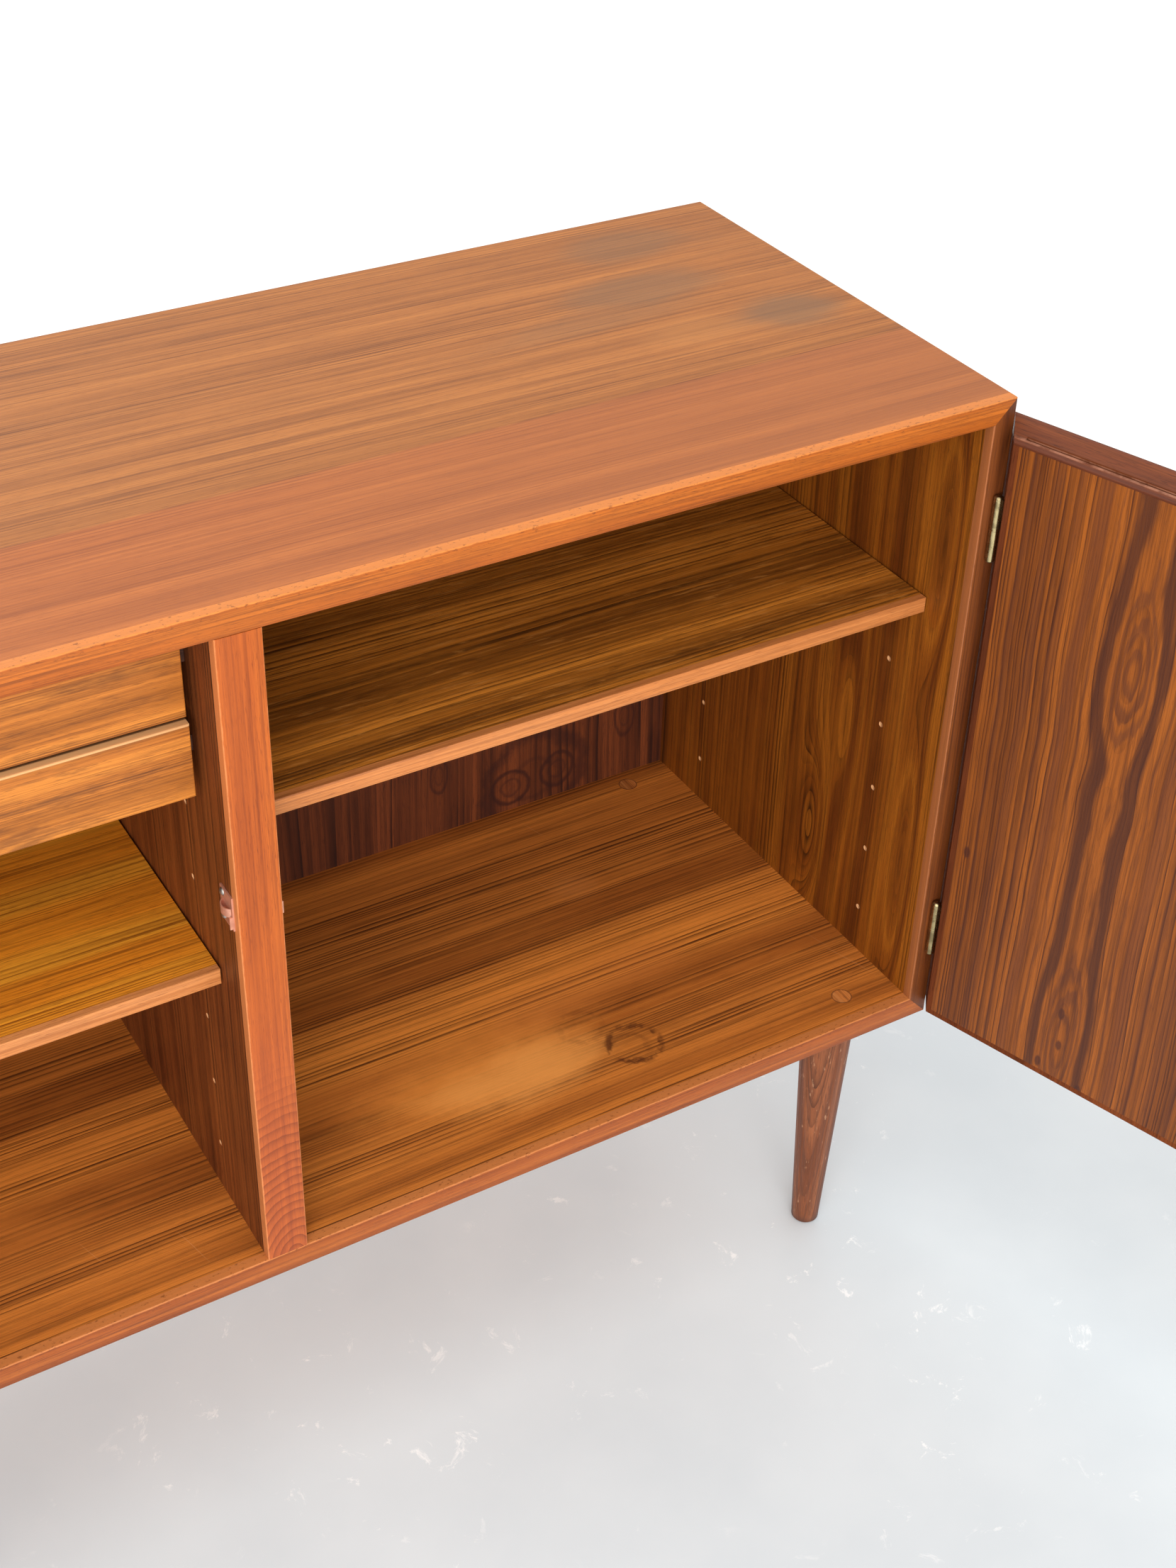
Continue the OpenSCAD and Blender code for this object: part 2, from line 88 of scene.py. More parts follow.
# ---------- small helpers for node trees ----------
class Tree:
    """A material's node tree with short ways to add the nodes that the finishes share."""

    def __init__(self, name):
        self.material = bpy.data.materials.new(name)
        self.material.use_nodes = True
        self.nodes = self.material.node_tree.nodes
        self.links = self.material.node_tree.links
        self.shader = self.nodes["Principled BSDF"]
        self.place = self.nodes.new("ShaderNodeTexCoord").outputs["Object"]

    def put(self, socket, value):
        if isinstance(value, bpy.types.NodeSocket):
            self.links.new(value, socket)
        else:
            socket.default_value = value

    def math(self, operation, a, b=0.0, c=0.0):
        node = self.nodes.new("ShaderNodeMath")
        node.operation = operation
        for socket, value in zip(node.inputs, (a, b, c)):
            self.put(socket, value)
        return node.outputs[0]

    def add(self, a, b):
        return self.math("ADD", a, b)

    def times(self, a, b):
        return self.math("MULTIPLY", a, b)

    def centred(self, value, amount):
        """A noise from 0 to 1, moved to lie round 0 and scaled."""
        return self.times(self.add(value, -0.5), amount)

    def length(self, a, b):
        return self.math("SQRT", self.add(self.times(a, a), self.times(b, b)))

    def along(self, point, direction, start=(0, 0, 0)):
        """Distance from start in a direction."""
        shift = self.nodes.new("ShaderNodeVectorMath")
        shift.operation = "SUBTRACT"
        self.put(shift.inputs[0], point)
        shift.inputs[1].default_value = start
        dot = self.nodes.new("ShaderNodeVectorMath")
        dot.operation = "DOT_PRODUCT"
        self.links.new(shift.outputs[0], dot.inputs[0])
        dot.inputs[1].default_value = direction
        return dot.outputs["Value"]

    def vector(self, x, y, z=0.0):
        node = self.nodes.new("ShaderNodeCombineXYZ")
        for socket, value in zip(node.inputs, (x, y, z)):
            self.put(socket, value)
        return node.outputs[0]

    def noise(self, point, scale, detail=2.0, rough=0.5, distort=0.0):
        node = self.nodes.new("ShaderNodeTexNoise")
        self.put(node.inputs["Vector"], point)
        node.inputs["Scale"].default_value = scale
        node.inputs["Detail"].default_value = detail
        node.inputs["Roughness"].default_value = rough
        node.inputs["Distortion"].default_value = distort
        return node.outputs[0]

    def bands(self, height, scale, detail=2.0, rough=0.5):
        """Noise along one number only, so it makes bands that follow that number's contours."""
        node = self.nodes.new("ShaderNodeTexNoise")
        node.noise_dimensions = "1D"
        self.put(node.inputs["W"], height)
        node.inputs["Scale"].default_value = scale
        node.inputs["Detail"].default_value = detail
        node.inputs["Roughness"].default_value = rough
        return node.outputs[0]

    def between(self, value, low, high):
        """0 below low and 1 above high, smooth between. low may be above high."""
        node = self.nodes.new("ShaderNodeMapRange")
        node.interpolation_type = "SMOOTHSTEP"
        self.put(node.inputs["Value"], value)
        if low < high:
            node.inputs["From Min"].default_value = low
            node.inputs["From Max"].default_value = high
        else:
            node.inputs["From Min"].default_value = high
            node.inputs["From Max"].default_value = low
            node.inputs["To Min"].default_value = 1.0
            node.inputs["To Max"].default_value = 0.0
        return node.outputs["Result"]

    def ramp(self, value, stops):
        node = self.nodes.new("ShaderNodeValToRGB")
        self.put(node.inputs[0], value)
        elements = node.color_ramp.elements
        while len(elements) < len(stops):
            elements.new(0.5)
        for element, (place, colour) in zip(elements, stops):
            element.position = place
            element.color = shade(colour)
        return node.outputs[0]

    def blend(self, amount, a, b, how="MIX"):
        node = self.nodes.new("ShaderNodeMix")
        node.data_type = "RGBA"
        node.blend_type = how
        self.put(node.inputs[0], amount)
        self.put(node.inputs[6], a if isinstance(a, bpy.types.NodeSocket) else shade(a))
        self.put(node.inputs[7], b if isinstance(b, bpy.types.NodeSocket) else shade(b))
        return node.outputs[2]

    def bump(self, height, strength, depth, base=None):
        node = self.nodes.new("ShaderNodeBump")
        self.put(node.inputs["Height"], height)
        node.inputs["Strength"].default_value = strength
        node.inputs["Distance"].default_value = depth
        if base is not None:
            self.links.new(base, node.inputs["Normal"])
        return node.outputs[0]


def linear(value):
    value /= 255
    return value / 12.92 if value <= 0.04045 else ((value + 0.055) / 1.055) ** 2.4


def shade(colour):
    """A colour given as screen values from 0 to 255, as the shader needs it."""
    return tuple(linear(v) for v in colour) + (1.0,)


# ---------- wood ----------
class Lie:
    """How a sheet of wood lies: u runs along its grain, v across the face, w through it, all in metres."""

    def __init__(self, start, grain, across):
        self.start = Vector(start)
        self.grain = Vector(grain).normalized()
        self.across = Vector(across).normalized()
        self.through = self.grain.cross(self.across)

    def read(self, tree):
        u = tree.along(tree.place, self.grain, self.start)
        v = tree.along(tree.place, self.across, self.start)
        w = tree.along(tree.place, self.through, self.start)
        return u, v, w


def swirl(tree, u, v, at, size, lift):
    """A soft hill in the figure at one place, which the growth lines run around."""
    du = tree.times(tree.add(u, -at[0]), 1 / size[0])
    dv = tree.times(tree.add(v, -at[1]), 1 / size[1])
    square = tree.add(tree.times(du, du), tree.times(dv, dv))
    return tree.times(tree.math("EXPONENT", tree.times(square, -1.0)), lift)


def heart(tree, u, v, seed, line, depth, dips):
    """Distance from the middle of the log, for a sheet cut close beside it: line is where the middle runs
    across the sheet, depth how far below the face it is, and each dip brings it nearer at one place."""
    waver = tree.noise(tree.vector(tree.times(u, 6.0), seed), 1.0, 2.0)
    below = tree.add(depth, tree.centred(waver, depth * 0.7))
    for at, reach, lift in dips:
        away = tree.times(tree.add(u, -at), 1 / reach)
        bulge = tree.math("EXPONENT", tree.times(tree.times(away, away), -1.0))
        below = tree.add(below, tree.times(bulge, -lift))
    off = tree.add(v, -line)
    return tree.length(off, below)


STREAKS = 230.0


def wood(name, lie, tones, line_tone, drift=0.010, drift_length=2.0, drift_width=8.0, ripple=0.0012,
         stripe=30.0, rings=230.0, ring_depth=0.7, clusters=16.0, streak_depth=0.52, pore_depth=0.60,
         fibre_depth=0.42, mottle=0.2, seed=0.0, swirls=(), hearts=None, gloss=0.46, sheen=0.30,
         relief=0.3, lean=0.35, after=None):
    """Veneer or solid wood. tones: the broad stripes' colours, dark to pale. line_tone: the dark growth
    lines, rings of them to a metre. drift: how far the lines wander over the sheet, in metres. after: a
    surface's own story, called with the colour and roughness so far and the place in the sheet."""
    tree = Tree(name)
    u, v, w = lie.read(tree)
    across = tree.add(v, tree.times(w, lean))
    slow = tree.vector(tree.times(u, drift_length), tree.times(across, drift_width), seed)
    wander = tree.centred(tree.noise(slow, 1.0, 2.0, 0.45), drift)
    small = tree.noise(tree.vector(tree.times(u, 11.0), tree.times(across, 60.0), seed + 3.0), 1.0, 2.0)
    wander = tree.add(wander, tree.centred(small, ripple))
    height = tree.add(across, wander)

    def slanted(along, over):
        """Places along the grain, shifted from line to line so that no marks fall into rows."""
        return tree.add(tree.times(u, along), tree.times(tree.add(v, w), over))

    streak = tree.vector(slanted(2.6, 34.0), tree.times(height, STREAKS), seed + 5.0)
    streak = tree.noise(streak, 1.0, 4.0, 0.62)
    if hearts is not None:
        height = heart(tree, u, height, seed, *hearts)
    for at, size, lift in swirls:
        height = tree.add(height, swirl(tree, u, v, at, size, lift))
    around = tree.add(height, seed)
    steps = [(0.36 + 0.28 * i / (len(tones) - 1), colour) for i, colour in enumerate(tones)]
    colour = tree.ramp(tree.bands(around, stripe, 3.0, 0.55), steps)
    # growth rings: each darkens slowly across its width and ends sharply, and no two are as dark
    phase = tree.add(tree.times(around, rings), tree.times(tree.bands(around, rings * 0.11, 2.0), 5.0))
    late = tree.math("POWER", tree.math("FRACT", phase), 2.4)
    chance = tree.nodes.new("ShaderNodeTexWhiteNoise")
    chance.noise_dimensions = "1D"
    tree.put(chance.inputs["W"], tree.math("FLOOR", phase))
    chance = tree.between(chance.outputs["Value"], -0.05, 0.62)
    bunch = tree.between(tree.bands(tree.add(around, 0.7), clusters, 1.0), 0.38, 0.60)
    bunch = tree.add(0.45, tree.times(bunch, 1.25))
    along = tree.noise(tree.vector(tree.times(u, 5.0), tree.times(across, 90.0), seed + 9.0), 1.0, 2.0, 0.6)
    along = tree.add(0.60, tree.times(tree.between(along, 0.32, 0.58), 0.70))
    line = tree.times(tree.times(late, chance), tree.times(bunch, along))
    colour = tree.blend(tree.times(line, ring_depth), colour, line_tone)
    colour = tree.blend(tree.times(tree.between(streak, 0.50, 0.34), streak_depth), colour, line_tone)
    colour = tree.blend(tree.times(tree.between(streak, 0.52, 0.70), streak_depth * 0.6), colour, tones[-1])
    # fibres, and short dark pores along the grain
    fibre = tree.vector(slanted(12.0, 90.0), tree.times(v, 800.0), tree.times(w, 800.0))
    fibre = tree.noise(fibre, 1.0, 3.0, 0.7)
    pore = tree.vector(slanted(85.0, 470.0), tree.times(v, 1300.0), tree.times(w, 1300.0))
    pore = tree.between(tree.noise(pore, 1.0, 2.0, 0.6), 0.57, 0.70)
    colour = tree.blend(tree.times(tree.between(fibre, 0.60, 0.34), fibre_depth), colour, line_tone)
    colour = tree.blend(tree.times(pore, pore_depth), colour, line_tone)
    cloud = tree.vector(tree.times(u, 7.0), tree.times(v, 22.0), tree.times(w, 22.0))
    cloud = tree.noise(cloud, 1.0, 4.0, 0.6)
    colour = tree.blend(tree.times(tree.between(cloud, 0.42, 0.68), mottle), colour, tones[-1])
    rough = tree.add(gloss, tree.times(fibre, 0.14))
    if after is not None:
        colour, rough = after(tree, colour, rough, u, v, w)
    tree.put(tree.shader.inputs["Base Color"], colour)
    tree.put(tree.shader.inputs["Roughness"], rough)
    grain = tree.add(tree.times(fibre, 0.6), tree.times(pore, -0.8))
    tree.put(tree.shader.inputs["Normal"], tree.bump(grain, relief, 0.0004))
    tree.shader.inputs["Specular IOR Level"].default_value = sheen
    return tree.material


def worn_line(tree, colour, distance, reach, tint, amount):
    """A paler rubbed line where distance, in metres, is below reach, broken up as wear is."""
    breakup = tree.noise(tree.place, 60.0, 4.0, 0.7)
    limit = tree.add(distance, tree.centred(breakup, reach * 1.6))
    return tree.blend(tree.times(tree.between(limit, reach, reach * 0.25), amount), colour, tint)


def top_story(tree, colour, rough, u, v, w):
    """The top: a redder strip along its front, a sun-browned back and faint clouds near its right end."""
    seam = 0.133
    strip = tree.between(v, seam + 0.0010, seam - 0.0010)
    red = tree.blend(1.0, colour, (255, 242, 240), "MULTIPLY")
    red = tree.blend(0.20, red, (184, 92, 46))
    dull = tree.blend(tree.times(tree.between(u, -0.20, 0.60), 0.34), red, (146, 92, 52))
    colour = tree.blend(strip, colour, dull)
    gap = tree.noise(tree.vector(tree.times(u, 16.0), 3.0), 1.0, 3.0, 0.6)
    glue = tree.between(tree.math("ABSOLUTE", tree.add(v, -seam)), 0.0013, 0.0002)
    glue = tree.times(glue, tree.between(gap, 0.38, 0.60))
    colour = tree.blend(tree.times(glue, 0.55), colour, (92, 44, 24))
    ragged = tree.noise(tree.vector(tree.times(u, 10.0), tree.times(v, 16.0), 4.0), 1.0, 3.0, 0.6)
    ragged = tree.centred(ragged, 0.9)
    for at, size, amount in (
            ((0.545, 0.205), (0.050, 0.035), 0.62), ((0.470, 0.290), (0.080, 0.030), 0.50),
            ((0.500, 0.368), (0.070, 0.036), 0.45), ((0.400, 0.250), (0.100, 0.020), 0.28)):
        cloud = tree.between(tree.add(swirl(tree, u, v, at, size, 1.0), ragged), 0.20, 0.85)
        colour = tree.blend(tree.times(cloud, amount), colour, (118, 88, 62))
    pale = tree.between(tree.add(swirl(tree, u, v, (0.462, 0.205), (0.060, 0.030), 1.0), ragged), 0.30, 0.95)
    colour = tree.blend(tree.times(pale, 0.25), colour, (176, 118, 62))
    pale = tree.between(tree.add(swirl(tree, u, v, (-0.45, 0.170), (0.35, 0.035), 1.0), ragged), 0.20, 0.95)
    colour = tree.blend(tree.times(pale, 0.40), colour, (186, 122, 76))
    return colour, rough


def floor_story(tree, colour, rough, u, v, w):
    """The bottom panel: its middle rubbed to a golden colour, pale stains, and the ring that a pot left."""
    ragged = tree.noise(tree.vector(tree.times(u, 13.0), tree.times(v, 26.0), 2.0), 1.0, 5.0, 0.65)
    ragged = tree.centred(ragged, 0.9)
    for at, size, amount, tint in (
            ((0.200, 0.100), (0.130, 0.055), 0.70, (228, 140, 58)),
            ((0.235, 0.082), (0.100, 0.040), 0.50, (240, 164, 84)),
            ((0.300, 0.150), (0.080, 0.035), 0.35, (206, 120, 52)),
            ((0.395, 0.155), (0.055, 0.035), 0.32, (200, 114, 50)),
            ((0.395, 0.276), (0.030, 0.022), 0.30, (206, 128, 64)),
            ((0.080, 0.130), (0.080, 0.030), 0.40, (206, 118, 44)),
            ((-0.300, 0.120), (0.200, 0.050), 0.40, (206, 120, 48))):
        patch = tree.between(tree.add(swirl(tree, u, v, at, size, 1.0), ragged), 0.22, 1.0)
        colour = tree.blend(tree.times(patch, amount), colour, tint)
        rough = tree.add(rough, tree.times(patch, 0.05))
    wobble = tree.centred(tree.noise(tree.place, 60.0, 3.0, 0.6), 0.019)
    broken = tree.between(tree.noise(tree.place, 60.0, 3.0, 0.6), 0.38, 0.58)
    for middle, size, amount in (
            ((0.333, 0.069), 0.0230, 0.78), ((0.327, 0.066), 0.0175, 0.30), ((0.303, 0.108), 0.020, 0.20)):
        du = tree.add(u, -middle[0])
        dv = tree.add(v, -middle[1])
        radius = tree.add(tree.length(du, dv), wobble)
        ring = tree.between(tree.math("ABSOLUTE", tree.add(radius, -size)), 0.0045, 0.0008)
        colour = tree.blend(tree.times(tree.times(ring, broken), amount), colour, (78, 36, 16))
    # hair scratches, crossing the grain a little
    for turn, seed in ((0.22, 3.0), (-1.3, 8.0)):
        run = tree.add(tree.times(u, math.cos(turn)), tree.times(v, math.sin(turn)))
        side = tree.add(tree.times(u, -math.sin(turn)), tree.times(v, math.cos(turn)))
        side = tree.add(side, tree.times(tree.noise(tree.vector(tree.times(run, 8.0), seed), 1.0, 1.0), 0.01))
        scratch = tree.noise(tree.vector(tree.times(run, 7.0), tree.times(side, 520.0), seed), 1.0, 1.0)
        colour = tree.blend(tree.times(tree.between(scratch, 0.76, 0.82), 0.40), colour, (214, 150, 96))
    return colour, rough


def bare_core(depth_low, depth_high, face_x, side):
    """Pale core wood inside the shelf holes of an upright board whose face is at face_x."""
    def story(tree, colour, rough, u, v, w):
        deep = tree.times(tree.add(tree.along(tree.place, X), -face_x), side)
        inside = tree.times(tree.between(deep, depth_low, depth_low + 0.0002),
                            tree.between(deep, depth_high, depth_high - 0.0002))
        return tree.blend(inside, colour, BARE_CORE), rough
    return story


def edge_story(height_z, tint, reach=0.0013):
    """Solid edging: the arris is rubbed pale in places, and old polish sits in darker specks below it."""
    def story(tree, colour, rough, u, v, w):
        down = tree.math("ABSOLUTE", tree.add(tree.along(tree.place, Z), -height_z))
        colour = worn_line(tree, colour, down, reach, tint, 0.55)
        specks = tree.vector(tree.times(u, 210.0), tree.times(v, 420.0), tree.times(w, 420.0))
        specks = tree.noise(specks, 1.0, 3.0, 0.65)
        near = tree.add(0.25, tree.times(tree.between(down, reach * 5.0, reach), 0.75))
        specks = tree.times(tree.between(specks, 0.56, 0.68), near)
        return tree.blend(tree.times(specks, 0.60), colour, (92, 44, 16)), rough
    return story


def upright_story(inner, outer, tint):
    """Upright edging: a pale rubbed line along the inner arris and a dull one along the outer."""
    def story(tree, colour, rough, u, v, w):
        x = tree.math("ABSOLUTE", tree.along(tree.place, X))
        near = tree.math("ABSOLUTE", tree.add(x, -inner))
        colour = worn_line(tree, colour, near, 0.0011, tint, 0.50)
        far = tree.math("ABSOLUTE", tree.add(x, -outer))
        return worn_line(tree, colour, far, 0.0009, tint, 0.35), rough
    return story


def rail_story(tree, colour, rough, u, v, w):
    """The door's rail: a pale ridge in front of the finger groove, partly rubbed wear and partly a painted
    highlight; darker below the ridge and along the crest.
    """
    z = tree.along(tree.place, Z)
    ridge = tree.times(tree.between(z, RIDGE_Z - 0.0010, RIDGE_Z - 0.0002),
                       tree.between(z, RIDGE_Z + 0.0009, RIDGE_Z + 0.0002))
    broken = tree.between(tree.noise(tree.place, 90.0, 3.0, 0.6), 0.30, 0.60)
    # pale ridge: rubbed wear, partly a painted highlight
    colour = tree.blend(tree.times(tree.times(ridge, broken), 0.45), colour, (188, 130, 102))
    low = tree.between(z, RIDGE_Z - 0.0010, RIDGE_Z - 0.0016)
    colour = tree.blend(tree.times(low, 0.35), colour, (70, 32, 24))
    crest = tree.between(z, RIDGE_Z + 0.0088, RIDGE_Z + 0.0100)
    return tree.blend(tree.times(crest, 0.30), colour, (88, 44, 34)), rough


def drawer_story(tree, colour, rough, u, v, w):
    """Drawer fronts: the top arris is rubbed almost bare and partly painted as a highlight, the top face
    behind it has painted shade where the gap between the drawers is, the grain smoky.
    """
    smoke = tree.noise(tree.vector(tree.times(u, 12.0), tree.times(v, 70.0), 8.0), 1.0, 4.0, 0.7)
    colour = tree.blend(tree.times(tree.between(smoke, 0.50, 0.34), 0.50), colour, (88, 48, 22))
    z = tree.along(tree.place, Z)
    y = tree.along(tree.place, Y)
    for front in ("drawer_upper_front", "drawer_lower_front"):
        low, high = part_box(front)
        near = tree.between(tree.math("ABSOLUTE", tree.add(z, -high.z)), 0.0016, 0.0006)
        behind = tree.between(y, low.y + 0.0060, low.y + 0.0075)
        # pale top arris: rubbed wear, partly a painted highlight
        colour = tree.blend(tree.times(near, 0.75), colour, (236, 184, 126))
        # painted shade on the top face behind the arris, in the gap between the drawers
        colour = tree.blend(tree.times(tree.times(near, behind), 0.85), colour, (70, 38, 18))
    return colour, rough


def divider_edge_story(tree, colour, rough, u, v, w):
    """The divider's front edge: arched growth rings low down, where the edging was cut across the log."""
    du = tree.add(u, 0.062)
    arch = tree.math("SQRT", tree.add(tree.times(du, du), tree.times(tree.times(v, v), 2.4)))
    arch = tree.add(arch, tree.times(tree.noise(tree.place, 22.0, 3.0), 0.014))
    ring = tree.math("POWER", tree.math("FRACT", tree.times(arch, 110.0)), 2.0)
    ring = tree.times(ring, tree.between(u, 0.16, 0.05))
    colour = tree.blend(tree.times(tree.between(u, 0.26, 0.05), 0.30), colour, (176, 88, 54))
    colour = tree.blend(tree.times(ring, 0.70), colour, (104, 44, 22))
    return upright_story(DIVIDER_X, DIVIDER_X, (214, 136, 82))(tree, colour, rough, u, v, w)


def shelf_story(tree, colour, rough, u, v, w):
    """The shelf's rough-cut top: painted highlights on small flakes along the grain, and painted shade in
    dark flecks between them.
    """
    flake = tree.vector(tree.add(tree.times(u, 22.0), tree.times(v, 70.0)), tree.times(v, 250.0), 7.0)
    flake = tree.noise(flake, 1.0, 4.0, 0.62, 0.7)
    # painted highlights on the flakes
    colour = tree.blend(tree.times(tree.between(flake, 0.55, 0.68), 0.50), colour, (206, 138, 64))
    # painted shade in the flecks between them
    colour = tree.blend(tree.times(tree.between(flake, 0.44, 0.34), 0.40), colour, (66, 32, 8))
    return colour, rough


# where the log's middle comes nearest the door's face: height, reach and rise
EYES = [(0.678, 0.050, 0.014), (0.556, 0.022, 0.003), (0.318, 0.065, 0.015)]
# how far the log's middle runs from the hinge, and how far it is below the face
HEART_RUN, HEART_DEPTH = 0.133, 0.0185


def door_story(tree, colour, rough, u, v, w):
    """The door's inner face: two dark bands that close round the heart's eyes, and a few small knots."""
    middle = heart(tree, u, v, 1.0, HEART_RUN, HEART_DEPTH, EYES)
    loose = tree.noise(tree.vector(tree.times(u, 9.0), tree.times(v, 60.0), 4.0), 1.0, 3.0, 0.6)
    middle = tree.add(middle, tree.centred(loose, 0.012))
    band = tree.times(tree.between(middle, 0.0185, 0.0215), tree.between(middle, 0.031, 0.0265))
    colour = tree.blend(tree.times(band, 0.80), colour, (62, 28, 16))
    outer = tree.times(tree.between(middle, 0.044, 0.048), tree.between(middle, 0.058, 0.052))
    colour = tree.blend(tree.times(outer, 0.40), colour, (84, 42, 26))
    for low, high, amount in (
            (0.0060, 0.0070, 0.50), (0.0105, 0.0120, 0.50), (0.0150, 0.0160, 0.45), (0.037, 0.038, 0.40),
            (0.066, 0.070, 0.35), (0.083, 0.090, 0.35), (0.104, 0.108, 0.30)):
        thin = tree.times(tree.between(middle, low - 0.0015, low), tree.between(middle, high + 0.0008, high))
        colour = tree.blend(tree.times(thin, amount), colour, (74, 36, 22))
    for at in ((0.345, 0.131), (0.312, 0.134), (0.268, 0.140), (0.285, 0.118), (0.276, 0.158),
               (0.455, 0.022)):
        spot = swirl(tree, u, v, at, (0.007, 0.0035), 1.0)
        spot = tree.between(tree.add(spot, tree.centred(loose, 0.5)), 0.35, 0.75)
        colour = tree.blend(tree.times(spot, 0.75), colour, (58, 24, 16))
    return colour, rough


def plug_story(tree, colour, rough, u, v, w):
    """The plugs: a dark joint line round each one."""
    plug_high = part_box("leg_plugs")[1]
    reach = 9 * MM
    dx = tree.add(tree.math("ABSOLUTE", tree.along(tree.place, X)), -(plug_high.x - reach))
    dy = tree.add(tree.math("ABSOLUTE", tree.along(tree.place, Y)), -(plug_high.y - reach))
    away = tree.length(dx, dy)
    rim = tree.between(away, reach - 0.0014, reach - 0.0004)
    return tree.blend(tree.times(rim, 0.75), colour, (72, 34, 16)), rough


def back_story(tree, colour, rough, u, v, w):
    """The back: two round knots low on the right inside one larger swirl, and a long one on each side."""
    loose = tree.centred(tree.noise(tree.place, 34.0, 4.0, 0.65), 0.55)
    for at, size, amount in (
            ((0.026, 0.417), (0.020, 0.020), 0.75), ((0.031, 0.468), (0.020, 0.018), 0.70),
            ((0.030, 0.443), (0.052, 0.056), 0.60), ((0.066, 0.341), (0.020, 0.009), 0.60),
            ((0.068, 0.543), (0.024, 0.011), 0.60)):
        du = tree.times(tree.add(u, -at[0]), 1 / size[0])
        dv = tree.times(tree.add(v, -at[1]), 1 / size[1])
        away = tree.add(tree.length(du, dv), loose)
        rim = tree.times(tree.between(away, 0.72, 0.94), tree.between(away, 1.14, 0.98))
        colour = tree.blend(tree.times(rim, amount), colour, (44, 16, 12))
        inner = tree.between(tree.math("ABSOLUTE", tree.add(away, -0.45)), 0.12, 0.02)
        colour = tree.blend(tree.times(inner, amount * 0.6), colour, (50, 20, 14))
    return colour, rough


def leg_story(tree, colour, rough, u, v, w):
    """The legs: dark stain, rubbed thin in small marks, and darker in the last centimetre above the floor."""
    marks = tree.vector(tree.times(u, 60.0), tree.times(v, 260.0), tree.times(w, 260.0))
    marks = tree.noise(marks, 1.0, 3.0, 0.7)
    colour = tree.blend(tree.times(tree.between(marks, 0.62, 0.72), 0.55), colour, (196, 148, 112))
    foot = tree.between(tree.along(tree.place, Z), 0.010, 0.0)
    return tree.blend(tree.times(foot, 0.6), colour, (74, 44, 32)), rough


# ---------- metal ----------
def metal(name, tone, tarnish, gloss, spread, metallic=1.0):
    tree = Tree(name)
    cloud = tree.noise(tree.place, 110.0, 4.0, 0.6)
    fine = tree.noise(tree.place, 1400.0, 2.0, 0.6)
    colour = tree.blend(tree.times(tree.between(cloud, 0.42, 0.66), spread), tone, tarnish)
    tree.put(tree.shader.inputs["Base Color"], colour)
    tree.put(tree.shader.inputs["Roughness"], tree.add(gloss, tree.times(cloud, 0.25)))
    tree.shader.inputs["Metallic"].default_value = metallic
    tree.put(tree.shader.inputs["Normal"], tree.bump(fine, 0.25, 0.0001))
    return tree.material


# ---------- shapes ----------
def cad_copy(node):
    """A joined-up copy of a CAD node's mesh, with its flat faces whole again."""
    shape = bmesh.new()
    shape.from_mesh(frame["nodes"][node].data)
    bmesh.ops.remove_doubles(shape, verts=shape.verts, dist=0.00001)
    bmesh.ops.dissolve_limit(shape, angle_limit=math.radians(0.5), verts=shape.verts, edges=shape.edges,
                             use_dissolve_boundaries=False)
    return shape


def piece_for(node, shape, name, finish):
    """Puts a shape in the scene in place of a CAD node, on the same body."""
    mesh = bpy.data.meshes.new(name)
    shape.to_mesh(mesh)
    shape.free()
    mesh.shade_smooth()
    mesh.set_sharp_from_angle(angle=math.radians(32))
    piece = bpy.data.objects.new(name, mesh)
    bpy.context.scene.collection.objects.link(piece)
    piece.data.materials.append(finish)
    body = frame["nodes"][node]["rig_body"]
    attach(piece, body)
    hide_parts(node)


def softened(node, name, finish, width, wanted, segments=3):
    """A copy of a CAD piece whose wanted edges are rounded by width, as a worn arris is."""
    shape = cad_copy(node)
    edges = [e for e in shape.edges
             if e.is_manifold and e.calc_face_angle(0.0) > math.radians(24) and wanted(e)]
    bmesh.ops.bevel(shape, geom=edges, offset=width, offset_type="OFFSET", affect="EDGES", segments=segments,
                    profile=0.5, material=-1, clamp_overlap=True)
    piece_for(node, shape, name, finish)


def smoothed(node, name, finish):
    """A copy of a CAD piece with its curved faces shaded smooth."""
    piece_for(node, cad_copy(node), name, finish)


def runs(direction, start=None, at=None, reach=0.0004):
    """Picks edges along a direction; with start and at, only those with both ends start metres along at."""
    aim = Vector(direction).normalized()

    def wanted(edge):
        a, b = (vertex.co for vertex in edge.verts)
        along = abs((b - a).normalized().dot(aim)) > 0.999
        if at is None:
            return along
        return along and all(abs(p.dot(Vector(at)) - start) < reach for p in (a, b))
    return wanted


def finish_node(node, finish):
    materials = frame["nodes"][node].data.materials
    materials.clear()
    materials.append(finish)


# ---------- finishes ----------
DOOR_RUN = Vector((-math.cos(DOOR_OPEN), -math.sin(DOOR_OPEN), 0))
HINGE_POINT = Vector(HINGE_RIGHT["pos_m"])
BAY_RIGHT_X = RIGHT_X - SIDE_THICK
RIDGE_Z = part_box("door_right_rail")[1].z - RIDGE_BELOW_TOP


def mirrored(vector):
    return Vector((-vector[0], vector[1], vector[2]))


top_wood = wood(
    "sun browned teak top", Lie((0, FRONT_Y, TOP_Z), X, Y),
    [(160, 97, 44), (170, 104, 48), (181, 113, 53)], (99, 54, 24),
    drift=0.012, drift_length=1.2, drift_width=3.0, stripe=60.0, rings=330.0, ring_depth=0.50, clusters=30.0,
    pore_depth=0.50, fibre_depth=0.38, mottle=0.15, seed=2.0, gloss=0.50, after=top_story)

